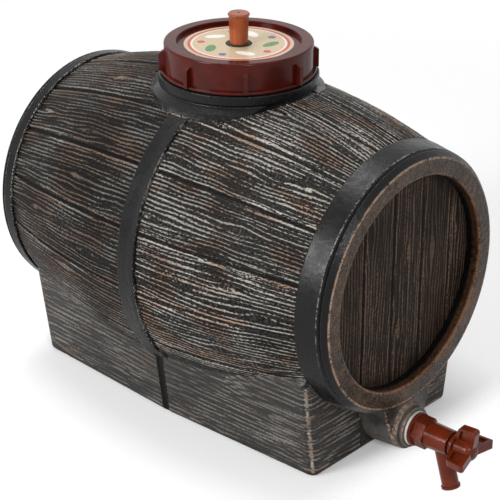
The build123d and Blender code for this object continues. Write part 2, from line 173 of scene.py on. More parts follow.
def addBump(tree, shader, height, distance, strength):
    bump = tree.nodes.new("ShaderNodeBump")
    bump.inputs["Distance"].default_value = distance
    bump.inputs["Strength"].default_value = strength
    tree.links.new(height, bump.inputs["Height"])
    tree.links.new(bump.outputs["Normal"], shader.inputs["Normal"])


def placeOf(tree):
    return tree.nodes.new("ShaderNodeTexCoord").outputs["Object"]


def splitOf(tree, vector):
    node = tree.nodes.new("ShaderNodeSeparateXYZ")
    tree.links.new(vector, node.inputs[0])
    return node.outputs


def attributeOf(tree, name):
    node = tree.nodes.new("ShaderNodeAttribute")
    node.attribute_name = name
    return node.outputs["Fac"]


def dress(node, material):
    slots = nodes[node].data.materials
    slots.clear()
    slots.append(material)


# Wood grain of the relief skins, in millimetres. Noises have a height, a step in each of their two
# directions and a layer of the noise table.

grainLook = {
    "relief": 1.0,  # from groove to crest
    "lift": 0.22,  # of the lowest lines above the solid
    "plankShift": 41.0,  # between the patterns of neighbouring planks
    "wave": (5.0, 120.0, 55.0, 1),
    "ripple": (1.1, 26.0, 15.0, 2),
    "linePitch": 4.2,
    "lineDrift": (0.3, 9.0, 90.0, 3),
    "sharpness": 3.2,
    "force": 0.78,
    "forceLimits": (0.25, 1.0),
    "forceSwing": (0.6, 1.0, 34.0, 4),
    "forceJump": 1.618,  # noise steps from one line to the next
    "finePitch": 2.1,
    "fineSharpness": 2,
    "zone": 0.55,  # of the fine lines
    "zoneSwing": (0.9, 17.0, 55.0, 6),
    "hair": (0.12, 0.9, 9.0, 5),
    "ground": 0.10,
    "crestShare": 0.72,
    "fineShare": 0.30,
    "seamShoulder": 3.2,  # from a seam's middle, over which the grain fades out
    "seamRelief": 0.25,  # share of the relief that is left in a seam
    "ridgeWidth": 1.2,  # of the rubbed ridge on that shoulder
    "mostRidge": 1.2,
}

knots = {
    "perPlank": 2,
    "sideways": (-0.32, 0.32),  # shares of the plank's width
    "lengthways": (0.08, 0.92),  # shares of its length
    "size": (3.0, 6.5),
    "stretch": 2.8,  # lengthways
    "push": 0.8,  # of the lines to its sides
    "core": 0.6,  # that the push leaves calm
    "fade": 1.5,
}

noiseSeed, noiseSize = 7, 256
noiseTable = np.random.default_rng(noiseSeed).uniform(-1.0, 1.0, (noiseSize, noiseSize))
layerShift = (37, 91)  # in the table from one layer to the next


def eased(share):
    # The share from 0 to 1 with a soft start and end.
    return share * share * (3 - 2 * share)


def smoothNoise(first, second, layer):
    column, row = np.floor(first).astype(int), np.floor(second).astype(int)
    shareX, shareY = eased(first - column), eased(second - row)
    column, row = column + layerShift[0] * layer, row + layerShift[1] * layer
    corner = [
        [noiseTable[(column + i) % noiseSize, (row + j) % noiseSize] for j in (0, 1)] for i in (0, 1)
    ]
    low = corner[0][0] * (1 - shareX) + corner[1][0] * shareX
    high = corner[0][1] * (1 - shareX) + corner[1][1] * shareX
    return low * (1 - shareY) + high * shareY


def noiseLike(look, first, second):
    height, firstStep, secondStep, layer = look
    return height * smoothNoise(first / firstStep, second / secondStep, layer)


def humps(value, pitch, sharpness):
    return (0.5 - 0.5 * np.cos(2 * pi * value / pitch)) ** sharpness


def plankGrain(across, along, plank, width, length, seed):
    # Height from 0 to 1 of the grain, the line each point lies on, and how near it is to a knot.
    generator = np.random.default_rng(seed)
    home = across + plank * grainLook["plankShift"]
    line = home + noiseLike(grainLook["wave"], along, home) + noiseLike(grainLook["ripple"], along, home)
    eye = np.zeros_like(line)
    count = int(plank.max() - plank.min() + 1)
    for index in range(knots["perPlank"] * count):
        place = generator.uniform(*knots["sideways"]) * width
        spot = along.min() + generator.uniform(*knots["lengthways"]) * length
        size = generator.uniform(*knots["size"])
        nearX, nearY = across - place, (along - spot) / knots["stretch"]
        near = (nearX**2 + nearY**2) / size**2
        here = plank == plank.min() + index % count
        line = line - np.where(here, nearX * knots["push"] / (near + knots["core"]), 0.0)
        eye = np.maximum(eye, np.where(here, np.exp(-near * knots["fade"]), 0.0))
    phase = line / grainLook["linePitch"] + noiseLike(grainLook["lineDrift"], line, along)
    crest = humps(phase, 1.0, grainLook["sharpness"])
    strength = grainLook["force"] + noiseLike(
        grainLook["forceSwing"], np.floor(phase) * grainLook["forceJump"], along
    )
    strength = np.clip(strength, *grainLook["forceLimits"])
    fine = humps(line, grainLook["finePitch"], grainLook["fineSharpness"])
    zone = np.clip(grainLook["zone"] + noiseLike(grainLook["zoneSwing"], home, along), 0, 1)
    lines = grainLook["crestShare"] * crest * strength + grainLook["fineShare"] * fine * zone
    height = grainLook["ground"] + lines + noiseLike(grainLook["hair"], line, along)
    return np.clip(height, 0, 1), line, eye


def besideSeam(gap):
    # How far the grain has come up beside a seam, and the rubbed ridge on that shoulder.
    edge = np.clip(gap / grainLook["seamShoulder"], 0, 1)
    return edge, np.exp(-(((gap - grainLook["seamShoulder"]) / grainLook["ridgeWidth"]) ** 2))


def patchesOf(first, second, layer):
    # The same noise from 0 to 1.
    return 0.5 + 0.5 * smoothNoise(first, second, layer)


def raised(least, share):
    # From least where the share is 0 to 1 where it is 1.
    return least + (1 - least) * share


def weighted(weights, *parts):
    # The first weight by itself, and each further one times its part.
    return weights[0] + sum(weight * part for weight, part in zip(weights[1:], parts))


grainStep = 60.0  # between the paint patterns of neighbouring planks
paintScale = 0.01  # units of the paint's pattern in a millimetre


def gridPiece(name, points, marks, flat, material, keep=None):
    # A sheet through a grid of points, riding on the barrel, with its marks as attributes.
    rows, columns = points.shape[:2]
    index = np.arange(rows * columns).reshape(rows, columns)
    quads = np.stack([index[:-1, :-1], index[:-1, 1:], index[1:, 1:], index[1:, :-1]], -1).reshape(-1, 4)
    if keep is not None:
        quads = quads[keep.reshape(-1)[quads].all(1)]
    used = np.unique(quads)
    renumber = np.zeros(rows * columns, int)
    renumber[used] = np.arange(len(used))
    mesh = bpy.data.meshes.new(name)
    mesh.from_pydata((points.reshape(-1, 3)[used] * millimetre).tolist(), [], renumber[quads].tolist())
    mesh.polygons.foreach_set("use_smooth", np.ones(len(quads), bool))
    for mark, values in marks.items():
        layer = mesh.attributes.new(mark, "FLOAT", "POINT")
        layer.data.foreach_set("value", values.reshape(-1)[used].astype(np.float32))
    layout = mesh.uv_layers.new(name="grain")
    loops = np.zeros(len(mesh.loops), np.int32)
    mesh.loops.foreach_get("vertex_index", loops)
    spread = flat.reshape(-1, 2)[used][loops] * paintScale
    layout.data.foreach_set("uv", spread.astype(np.float32).ravel())
    piece = bpy.data.objects.new(name, mesh)
    bpy.context.scene.collection.objects.link(piece)
    mesh.materials.append(material)
    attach(piece, "barrel")


grainPaint = {
    "dark": (0.0025, 0.0024, 0.0025),
    "body": (0.0140, 0.0126, 0.0112),
    "ash": (0.50, 0.47, 0.425),
    "tan": (0.38, 0.255, 0.185),
    # Scale, detail and roughness of the noises, and their waves across and along the grain in 100 mm
    "fine": (1.0, 3.0, 0.65, (72.0, 6.0, 1.0)),
    "speck": (1.0, 2.0, 0.7, (75.0, 32.0, 1.0)),
    "cloud": (1.0, 2.0, 0.5, (3.2, 1.6, 1.0)),
    "fineSwing": 0.7,
    "speckSwing": 1.0,
    # Levels from groove to crest where one colour goes over into the next
    "bodyLevels": (0.10, 0.55),
    "crestLevels": (0.36, 0.60),
    "grainyLevels": (0.32, 0.62),
    "grainyShares": (0.4, 1.1),
    "dustLevels": (0.42, 0.66),
    "dustShare": 0.11,
    "warmLevels": (0.74, 0.90),
    "warmShift": 0.5,
    "warmRub": 0.12,
    "shineLevels": (0.3, 0.7),
    "shineShifts": (-0.08, 0.14),
    "speckBump": 0.9,
    "bump": (0.0007, 0.8),
}


def makeGrainMaterial(name, look):
    material, tree, shader = newMaterial(name, look["shine"], look["specular"])
    grain = tree.nodes.new("ShaderNodeUVMap")
    grain.uv_map = "grain"
    lines = grain.outputs["UV"]
    ridge, rub = attributeOf(tree, "ridge"), attributeOf(tree, "rub")
    fine, speck, cloud = (noiseOf(tree, lines, *grainPaint[key]) for key in ("fine", "speck", "cloud"))

    level = total(tree, ridge, swingOf(tree, fine, grainPaint["fineSwing"]))
    dark, plain = (
        tuple(d * c for d, c in zip(look["depth"], grainPaint[key])) for key in ("dark", "body")
    )
    ground = blendColors(tree, between(tree, level, *grainPaint["bodyLevels"]), dark, plain)

    rough = total(tree, level, swingOf(tree, speck, grainPaint["speckSwing"]))
    crest = between(tree, rough, *grainPaint["crestLevels"])
    shares = (share * look["rubbed"] for share in grainPaint["grainyShares"])
    grainy = between(tree, speck, *grainPaint["grainyLevels"], *shares)
    dust = between(tree, speck, *grainPaint["dustLevels"], 0.0, grainPaint["dustShare"] * look["rubbed"])
    covered = product(tree, total(tree, product(tree, crest, grainy), dust), rub)
    paint = maths(tree, "MINIMUM", covered, 1.0)

    shift = look["warm"] * grainPaint["warmShift"]
    warmLevels = (edge - shift for edge in grainPaint["warmLevels"])
    warmth = between(tree, total(tree, cloud, product(tree, rub, grainPaint["warmRub"])), *warmLevels)
    rubbed = blendColors(tree, warmth, grainPaint["ash"], grainPaint["tan"])
    tree.links.new(blendColors(tree, paint, ground, rubbed), shader.inputs["Base Color"])

    shines = (look["shine"] + change for change in grainPaint["shineShifts"])
    tree.links.new(between(tree, fine, *grainPaint["shineLevels"], *shines), shader.inputs["Roughness"])
    pores = total(tree, fine, product(tree, speck, grainPaint["speckBump"]))
    addBump(tree, shader, pores, *grainPaint["bump"])
    return material


# Form of the base, where the staves end

base = {
    "halfLength": 197.0,
    "frontHalfWidth": 108.0,
    "middleHalfWidth": 112.0,
    "backHalfWidth": 99.0,
    "startHeight": 4.2,
    "sideHeight": 105.0,
    "shoulder": 12.0,
    "shoulderShares": (0.12, 0.96),
    "shoulderRows": 7,
    "shoulderRise": 0.7,  # of the grain's relief upwards there
    "slope": 0.14054,  # tangent of the sides' draft
    "cornerRadius": 9.0,
    "bossHalfWidth": 38.0,
    "grooveHalfWidth": 4.6,
    "grooveHeight": 78.0,
    "plankTops": (41.0, 78.0),
    "plankMiddles": (20.0, 60.0, 97.0),
    "plankWidth": 36.0,
    "fineness": 1.5,  # of its grain, set against the staves'
    "skinMargin": 2.0,  # of the staves' end inside its surface
    "columns": 900,
    "rows": 58,
}


def footHalfWidth(place):
    return np.interp(
        place,
        (-base["halfLength"], 0.0, base["halfLength"]),
        (base["frontHalfWidth"], base["middleHalfWidth"], base["backHalfWidth"]),
    )


def insideBase(points):
    side, place, high = np.abs(points[..., 0]), points[..., 1], points[..., 2]
    margin = base["skinMargin"]
    low = high < base["sideHeight"]
    narrow = side < footHalfWidth(place) + base["slope"] * high - margin
    return low & narrow & (np.abs(place) < base["halfLength"] - margin)


# Staves

barrel = {
    "axisHeight": 181.0,
    "bulgeMiddle": -516.7,
    "bulgeRadius": 679.2,
    "seamAngles": tuple(22.5 * (index + 1 / 3) for index in range(6)),
    "lastPlankEnd": 142.5,  # degrees
    "seamHalfWidth": 2.2,
    "seamDepth": 1.8,
    "reachAngle": 126.0,  # degrees, to which the relief goes down on each side
    "neckRadius": 87.3,
    "skinRadius": 150.0,  # at which the grain keeps its scale
    "plankWidth": 56.0,
    "endFade": 3.0,
    "endRelief": 0.5,  # share of the relief that is left at the hoops
    "columns": 940,
    "rows": 96,
    "patchStep": 24.0,
    "patchLength": 42.0,
    "patchLayer": 8,
    "rub": (0.42, 0.46, 0.5, 0.08),  # everywhere, in patches, on their ridges and at knots
    "mostRub": 1.3,
    "seamPaint": 0.1,
    "ridgePaint": 0.4,
}

staves = {
    "front": {
        "start": -192.7,
        "end": -11.6,
        "seed": 11,
        "paint": {"rubbed": 0.86, "warm": 0.36, "shine": 0.42, "specular": 0.07, "depth": (1, 1, 1)},
    },
    "back": {
        "start": 11.6,
        "end": 205.6,
        "seed": 23,
        # The back staves get less rubbed paint than the front ones, which makes them darker: painted
        # shade on the side turned from the lamps.
        "paint": {"rubbed": 0.36, "warm": 0.5, "shine": 0.42, "specular": 0.07, "depth": (1, 1, 1)},
    },
}

plankJump = 3.1  # noise steps between the rubbed patches of neighbouring planks


def bellyRadiusAt(place):
    return barrel["bulgeMiddle"] + np.sqrt(barrel["bulgeRadius"] ** 2 - place**2)


def seamGroove(gap, depth):
    return depth * np.clip(1 - gap / barrel["seamHalfWidth"], 0, 1)


def makeStaves(name, look, material):
    angles = np.linspace(-barrel["reachAngle"], barrel["reachAngle"], barrel["columns"])
    places = np.linspace(look["start"], look["end"], barrel["rows"])
    angle, place = np.meshgrid(angles, places)
    seams = np.array(sorted(side * a for a in barrel["seamAngles"] for side in (-1, 1)))
    borders = np.concatenate([[-barrel["lastPlankEnd"]], seams, [barrel["lastPlankEnd"]]])
    plank = np.searchsorted(seams, angle)
    middle = (borders[plank] + borders[plank + 1]) / 2
    across = np.radians(angle - middle) * barrel["skinRadius"]
    radius = bellyRadiusAt(place)
    seamGap = np.radians(np.min(np.abs(angle[..., None] - seams), -1)) * radius
    length = look["end"] - look["start"]
    height, line, eye = plankGrain(across, place, plank, barrel["plankWidth"], length, look["seed"])
    edge, beside = besideSeam(seamGap)
    hoopGap = np.minimum(np.abs(place - look["start"]), np.abs(place - look["end"]))
    ending = raised(barrel["endRelief"], np.clip(hoopGap / barrel["endFade"], 0, 1))
    relief = grainLook["relief"] * height * raised(grainLook["seamRelief"], edge) * ending
    lift = grainLook["lift"] + relief
    reach = radius - seamGroove(seamGap, barrel["seamDepth"]) + lift
    turn = np.radians(angle)
    points = np.stack([reach * np.sin(turn), place, barrel["axisHeight"] + reach * np.cos(turn)], -1)

    patchPlace = across / barrel["patchStep"] + plank * plankJump
    patches = patchesOf(patchPlace, place / barrel["patchLength"], barrel["patchLayer"])
    rub = np.clip(weighted(barrel["rub"], patches, beside * patches, eye), 0, barrel["mostRub"])
    ridge = height * raised(barrel["seamPaint"], edge) + barrel["ridgePaint"] * beside * patches
    ridge = np.clip(ridge, 0, grainLook["mostRidge"])
    plan = np.hypot(points[..., 0], points[..., 1])
    inNeck = (plan < barrel["neckRadius"]) & (points[..., 2] > barrel["axisHeight"])
    flat = np.stack([line + plank * grainStep, place], -1)
    gridPiece(name, points, {"ridge": ridge, "rub": rub}, flat, material, ~inNeck & ~insideBase(points))


for part, look in staves.items():
    makeStaves(f"{part}_staves", look, makeGrainMaterial(f"{part} staves", look["paint"]))
print("staves made")

# Heads

head = {
    "radius": 108.9,
    "fill": 0.9995,  # of that radius at the outermost columns
    "place": 211.0,
    "seams": (-57.0, -12.0, 33.0, 78.0),
    "outerBorder": 122.0,
    "seamDepth": 1.5,
    "plankWidth": 44.0,
    "reliefShare": 0.8,
    # Less rubbed paint towards the rim darkens the head's border: painted shade from the chime around it.
    "rimShadeFade": 14.0,
    "columns": 260,
    "rows": 110,
    "patchStep": 26.0,
    "patchLength": 60.0,
    "patchLayer": 9,
    "rub": (0.2, 0.75, 0.6),  # everywhere, in patches and on ridges
    "rimShadeRub": 0.35,  # share of it at the rim
    "mostRub": 1.5,
    "seamPaint": 0.2,
    "ridgePaint": 0.25,
    "frontSeed": 31,
    "backSeed": 37,
}

headPaint = {"rubbed": 0.36, "warm": 1.0, "shine": 0.5, "specular": 0.08, "depth": (2.4, 1.7, 1.15)}


def makeHead(name, side, seed, material):
    share = np.linspace(-1, 1, head["columns"])
    columns = head["radius"] * np.sin(share * pi / 2) * head["fill"]
    x = np.repeat(columns[None, :], head["rows"], 0)
    reach = np.sqrt(head["radius"] ** 2 - x**2)
    z = reach * np.linspace(-1, 1, head["rows"])[:, None]
    seams = np.array(head["seams"])
    borders = np.concatenate([[-head["outerBorder"]], seams, [head["outerBorder"]]])
    plank = np.searchsorted(seams, x)
    across = x - (borders[plank] + borders[plank + 1]) / 2
    seamGap = np.min(np.abs(x[..., None] - seams), -1)
    height, line, _ = plankGrain(across, z, plank, head["plankWidth"], 2 * head["radius"], seed)
    edge, beside = besideSeam(seamGap)
    relief = head["reliefShare"] * grainLook["relief"] * height * raised(grainLook["seamRelief"], edge)
    out = head["place"] - seamGroove(seamGap, head["seamDepth"]) + grainLook["lift"] + relief
    points = np.stack([x * -side, side * out, barrel["axisHeight"] + z], -1)

    patchPlace = across / head["patchStep"] + plank * plankJump
    patches = patchesOf(patchPlace, z / head["patchLength"], head["patchLayer"])
    # Painted shade: the head darkens towards its rim, inside the chime.
    rim = np.clip((head["radius"] - np.hypot(x, z)) / head["rimShadeFade"], 0, 1)
    rub = weighted(head["rub"], patches, beside) * raised(head["rimShadeRub"], rim)
    rub = np.clip(rub, 0, head["mostRub"])
    ridge = height * raised(head["seamPaint"], edge) + head["ridgePaint"] * beside
    ridge = np.clip(ridge, 0, grainLook["mostRidge"])
    flat = np.stack([line + plank * grainStep, z], -1)
    gridPiece(name, points, {"ridge": ridge, "rub": rub}, flat, material)


headMaterial = makeGrainMaterial("barrel heads", headPaint)
makeHead("front_head", -1, head["frontSeed"], headMaterial)
makeHead("back_head", 1, head["backSeed"], headMaterial)
print("heads made")

# Sides and ends of the base

# The base's ground colours are made lighter and greyer (depth) than the staves': a painted sheen from the
# pale table.
basePaint = {"rubbed": 0.50, "warm": 0.36, "shine": 0.42, "specular": 0.38, "depth": (2.6, 2.4, 2.2)}

baseRub = {
    "reliefShare": 0.75,
    "patchSteps": (60.0, 30.0),
    "patchLayer": 10,
    "cornerFrom": 0.48,  # of the smaller part of the outward direction, 0.707 on a corner
    "cornerRamp": 0.2,
    "cornerRelief": (1.3, -1.8),  # of the grain, and its change with that part
    "reliefLimits": (0.15, 1.0),
    "cornerPaint": 0.6,
    "cornerSwing": (0.35, 1.6, 3.5, 11),
    "cornerLoss": 0.85,  # of the grain's own lines
    "rub": (0.2, 0.5, 0.7, 0.5),  # everywhere, in patches, on corners and on the front
    "mostRub": 1.3,
    "facing": 0.5,  # least part of the outward direction on a side or on the front
    "seed": 43,
}

arcPoints = 9
straightAngle = 1.4  # radians of half a corner from which on it isn't rounded


def basePath(height):
    # Corners of the base's outline at one height, from the middle of the front round to it again.
    grown = base["slope"] * height
    front, middle, back = (base[f"{part}HalfWidth"] + grown for part in ("front", "middle", "back"))
    end = base["halfLength"]
    half = [(base["bossHalfWidth"], -end), (front, -end), (middle, 0.0), (back, end)]
    return [(-x, y) for x, y in half] + half[::-1]


def roundedLine(corners, radius, count):
    # The line through the corners with round ones: points, outward directions and lengths along it.
    dense = []
    for index, corner in enumerate(corners):
        corner = np.array(corner)
        if index in (0, len(corners) - 1):
            dense.append(corner[None])
            continue
        before, after = np.array(corners[index - 1]) - corner, np.array(corners[index + 1]) - corner
        before, after = before / np.linalg.norm(before), after / np.linalg.norm(after)
        half = np.arccos(np.clip(before @ after, -1, 1)) / 2
        if half > straightAngle:
            dense.append(corner[None])
            continue
        tangent = radius / np.tan(half)
        middle = corner + (before + after) / np.linalg.norm(before + after) * radius / np.sin(half)
        first, last = corner + before * tangent - middle, corner + after * tangent - middle
        share = np.linspace(0, 1, arcPoints)[:, None]
        arc = first * (1 - share) + last * share
        dense.append(middle + arc / np.linalg.norm(arc, axis=1)[:, None] * radius)
    dense = np.concatenate(dense)
    length = np.concatenate([[0], np.cumsum(np.linalg.norm(np.diff(dense, axis=0), axis=1))])
    at = np.linspace(0, length[-1], count)
    line = np.stack([np.interp(at, length, dense[:, k]) for k in (0, 1)], -1)
    ahead = np.gradient(line, axis=0)
    ahead /= np.linalg.norm(ahead, axis=1)[:, None]
    return line, np.stack([-ahead[:, 1], ahead[:, 0]], -1), at


def baseGrid():
    # Points on the base's sides and ends, their outward directions and their way round the base.
    side = base["sideHeight"]
    heights = np.concatenate([
        np.linspace(base["startHeight"], side, base["rows"]),
        side + base["shoulder"] * np.linspace(*base["shoulderShares"], base["shoulderRows"]),
    ])
    rows, outs, ways = [], [], []
    for height in heights:
        above = max(0.0, height - side)
        line, out, at = roundedLine(basePath(min(height, side)), base["cornerRadius"], base["columns"])
        inwards = np.column_stack([out[:, 0] * above, np.zeros(len(line))])
        rise = base["shoulderRise"] if above else 0.0
        rows.append(np.column_stack([line - inwards, np.full(len(line), height)]))
        outs.append(np.column_stack([out, np.full(len(line), rise)]))
        ways.append(at)
    return np.array(rows), np.array(outs), np.array(ways)


def makeBase(name, seed, material):
    points, outs, way = baseGrid()
    high = points[..., 2]
    plank = np.searchsorted(base["plankTops"], high)
    across = (high - np.array(base["plankMiddles"])[plank]) * base["fineness"]
    width = base["plankWidth"] * base["fineness"]
    level, line, _ = plankGrain(across, way, plank, width, way.max(), seed)
    onSide, onFront = np.abs(outs[..., 0]) > baseRub["facing"], outs[..., 1] < -baseRub["facing"]
    inGroove = onSide & (np.abs(points[..., 1]) < base["grooveHalfWidth"]) & (high < base["grooveHeight"])
    turn = np.minimum(np.abs(outs[..., 0]), np.abs(outs[..., 1]))
    fading = np.clip(weighted(baseRub["cornerRelief"], turn), *baseRub["reliefLimits"])
    lift = grainLook["lift"] + baseRub["reliefShare"] * grainLook["relief"] * level * fading
    points = points + outs * lift[..., None]

    patchWay, patchHeight = baseRub["patchSteps"]
    patches = patchesOf(way / patchWay, high / patchHeight, baseRub["patchLayer"])
    corner = np.clip((turn - baseRub["cornerFrom"]) / baseRub["cornerRamp"], 0, 1)
    ragged = baseRub["cornerPaint"] + noiseLike(baseRub["cornerSwing"], way, high)
    rub = np.clip(weighted(baseRub["rub"], patches, corner, onFront), 0, baseRub["mostRub"])
    ridge = level * (1 - baseRub["cornerLoss"] * corner) + corner * ragged
    ridge = np.clip(ridge, 0, grainLook["mostRidge"])
    flat = np.stack([line + plank * grainStep, way], -1)
    gridPiece(name, points, {"ridge": ridge, "rub": rub}, flat, material, ~inGroove)


makeBase("base_sides", baseRub["seed"], makeGrainMaterial("barrel base", basePaint))
print("base made")

# The barrel's smooth parts: hoops, rims, neck and boss

body = {
    "satin": (0.0045, 0.0045, 0.0050),
    "rim": (0.016, 0.010, 0.007),
    "bronze": (0.120, 0.066, 0.036),
    "rust": (0.075, 0.034, 0.017),
    # light grey of the boss's side, a painted sheen: the reflection of the pale table
    "boss": (0.125, 0.112, 0.100),
    "copper": (0.26, 0.125, 0.065),
    # grey of the painted highlight lines on the hoops' edges, the end hoops' creases and the neck's foot
    "paintedHighlight": (0.24, 0.22, 0.20),
    # worn paint on edges; on the chime's outer line it is also a painted highlight
    "rubbed": (0.46, 0.30, 0.21),
    "roughness": 0.24,
    "specular": 0.20,
    "tapHeight": 0.026,
    "bossFlare": 0.364,  # sideways rise of the boss's edges
    "hoopMatt": 0.12,
    "bump": (0.0010, 0.6),
}

# Soft borders of its paint, in metres: from, to and the shares there. Heights count from the axis.
bodyBorders = {
    "end": (0.2165, 0.2195),
    "chime": (0.1285, 0.1270),
    "wall": (0.1118, 0.1100),
    "outerHighlightFade": (0.115, 0.0, 0.35, 1.0),
    "innerDeep": (0.2225, 0.2260),
    "hoop": (0.1600, 0.1615),
    "offNeck": (0.0880, 0.0900),
    "hoopFront": (0.0, -0.008),
    "hoopSides": (0.020, 0.015),
    "creaseOut": (0.1300, 0.1310),
    "creaseHighlightFade": (-0.060, 0.040, 0.1, 1.0),
    "footHigh": (0.130, 0.135),
    "bossSheenLow": (-0.095, -0.105),
    "bossSheenFront": (-0.196, -0.199),
    "bossSheenOut": (0.1275, 0.1290),
    "bossEdgeLow": (-0.166, -0.163),
    "bossEdgeFront": (-0.2245, -0.2262),
    "padFront": (-0.2250, -0.2262),
    "stepFront": (-0.2340, -0.2355),
    "ringsOut": (0.1295, 0.1310),
}

# Rubbed lines and painted highlight lines on its edges, in metres: middle, half width and softness. The
# hoop, crease and foot lines are painted highlights.
bodyLines = {
    "outer": (0.1268, 0.0004, 0.0012),
    "inner": (0.1102, 0.0006, 0.0012),
    "hoop": (-0.0110, 0.0001, 0.0006),
    "frontCrease": (0.2168, 0.0002, 0.0006),
    "backCrease": (0.2068, 0.0003, 0.0006),
    "neckFootHighlight": (0.0879, 0.0003, 0.0007),
    "boss": (0.0828, 0.0008, 0.0014),
    "pad": (0.0246, 0.0002, 0.0008),
    "step": (0.0212, 0.0004, 0.0008),
}

# Waves in a metre, detail and roughness of its noises, and the levels where they show.
bodyNoise = {
    "mottle": (170.0, 4.0, 0.7),
    "smear": (30.0, 3.0, 0.6),
    "streak": (90.0, 3.0, 0.6),
    "speckle": (620.0, 2.0, 0.6),
    "smearInGrit": 0.8,
    "gritInFleck": 0.6,
    "brokenLevels": (1.02, 1.16),
    "ringLevels": (0.98, 1.20),
    "wornLevels": (0.86, 1.12),
    "bronzeLevels": (0.92, 1.22),
    "rustLevels": (0.35, 0.65),
    "bossSheenLevels": (0.2, 0.7),
    "roughLevels": (0.3, 0.7),
    "roughShifts": (-0.06, 0.12),
    "mottleBump": 0.9,
    "faceBump": 1.2,
    "speckleBump": 0.25,
    "smearBump": 0.6,
}


def makeBodyMaterial():
    material, tree, shader = newMaterial("barrel body", body["roughness"], body["specular"])
    point = placeOf(tree)
    centred = vectorMaths(tree, "SUBTRACT", point, (0, 0, barrel["axisHeight"] * millimetre))
    fromTap = vectorMaths(tree, "SUBTRACT", point, (0, 0, body["tapHeight"]))
    side, along, high = splitOf(tree, centred)
    away = maths(tree, "ABSOLUTE", along)
    radius = vectorMaths(tree, "LENGTH", vectorMaths(tree, "MULTIPLY", centred, (1, 0, 1)))
    plan = vectorMaths(tree, "LENGTH", vectorMaths(tree, "MULTIPLY", point, (1, 1, 0)))
    tapGap = vectorMaths(tree, "LENGTH", vectorMaths(tree, "MULTIPLY", fromTap, (1, 0, 1)))
    mottle, smear, streak, speckle = (
        noiseOf(tree, point, *bodyNoise[key]) for key in ("mottle", "smear", "streak", "speckle")
    )

    def step(value, name):
        return between(tree, value, *bodyBorders[name])

    def line(value, name):
        return band(tree, value, *bodyLines[name])

    def showing(noise, name, mask):
        return product(tree, mask, between(tree, noise, *bodyNoise[name]))

    face = product(tree, step(away, "end"), step(radius, "chime"))
    wall = product(tree, face, step(radius, "wall"))
    # The chime's outer line is worn paint and a painted highlight: it fades towards the right, away from
    # the lamp on the left.
    outer = product(tree, line(radius, "outer"), step(away, "end"), step(side, "outerHighlightFade"))
    inner = product(tree, line(radius, "inner"), step(away, "innerDeep"))
    onHoop = product(tree, step(radius, "hoop"), step(plan, "offNeck"))
    hoopEdgeHighlight = product(tree, line(along, "hoop"), onHoop)
    hoopFront = product(tree, step(along, "hoopFront"), step(away, "hoopSides"), onHoop)
    creaseHighlights = largest(tree, line(away, "frontCrease"), line(along, "backCrease"))
    # The crease highlights fade out lower down, away from the light: painted highlight.
    creaseHighlights = product(tree, creaseHighlights, step(radius, "creaseOut"), step(high, "creaseHighlightFade"))
    neckFootHighlight = product(tree, line(plan, "neckFootHighlight"), step(high, "footHigh"))
    # Painted sheen on the boss's side, where it faces the table.
    bossSheen = product(tree, step(high, "bossSheenLow"), step(along, "bossSheenFront"), step(radius, "bossSheenOut"))
    flare = maths(tree, "SUBTRACT", maths(tree, "ABSOLUTE", side), product(tree, high, body["bossFlare"]))
    bossEdge = product(tree, line(flare, "boss"), step(high, "bossEdgeLow"), step(along, "bossEdgeFront"))
    padEdge = product(tree, line(tapGap, "pad"), step(along, "padFront"))
    stepEdge = product(tree, line(tapGap, "step"), step(along, "stepFront"))
    rings = product(tree, largest(tree, padEdge, stepEdge, bossEdge), step(radius, "ringsOut"))

    grit = total(tree, mottle, product(tree, smear, bodyNoise["smearInGrit"]))
    fleck = total(tree, product(tree, grit, bodyNoise["gritInFleck"]), speckle)

    bronzed = between(tree, fleck, *bodyNoise["bronzeLevels"])
    coats = (
        (face, blendColors(tree, bronzed, body["rim"], body["bronze"])),
        (showing(mottle, "rustLevels", wall), body["rust"]),
        (showing(smear, "bossSheenLevels", bossSheen), body["boss"]),
        (showing(fleck, "wornLevels", inner), body["copper"]),
        (showing(fleck, "wornLevels", outer), body["rubbed"]),
        (showing(fleck, "ringLevels", rings), body["rubbed"]),
        # Painted highlights along the middle hoop's front edge, the end hoops' creases and the neck's
        # foot.
        (showing(fleck, "brokenLevels", largest(tree, hoopEdgeHighlight, creaseHighlights, neckFootHighlight)), body["paintedHighlight"]),
    )
    color = body["satin"]
    for share, coat in coats:
        color = blendColors(tree, share, color, coat)
    tree.links.new(color, shader.inputs["Base Color"])

    roughs = (body["roughness"] + change for change in bodyNoise["roughShifts"])
    rough = between(tree, streak, *bodyNoise["roughLevels"], *roughs)
    rough = total(tree, rough, product(tree, hoopFront, body["hoopMatt"]))
    tree.links.new(rough, shader.inputs["Roughness"])
    coarse = product(tree, total(tree, face, hoopFront), bodyNoise["faceBump"])
    relief = total(
        tree,
        product(tree, mottle, total(tree, coarse, bodyNoise["mottleBump"])),
        product(tree, speckle, bodyNoise["speckleBump"]),
        product(tree, smear, bodyNoise["smearBump"]),
    )
    addBump(tree, shader, relief, *body["bump"])
    return material


dress("barrel_body", makeBodyMaterial())
print("barrel body dressed")

# Lid, plug and tap

plastics = {
    "lid": {"color": (0.066, 0.0065, 0.0035), "roughness": 0.15, "specular": 0.16, "wave": 0.0003},
    "plug": {"color": (0.300, 0.070, 0.022), "roughness": 0.20, "specular": 0.3, "wave": 0.0002},
    "tap": {"color": (0.135, 0.019, 0.005), "roughness": 0.17, "specular": 0.22, "wave": 0.0003},
}

rubbers = {
    "white": {"color": (0.78, 0.78, 0.75), "roughness": 0.55, "specular": 0.3, "wave": 0.0002},
    "dark": {"color": (0.018, 0.016, 0.016), "roughness": 0.6, "specular": 0.3, "wave": 0.0002},
}

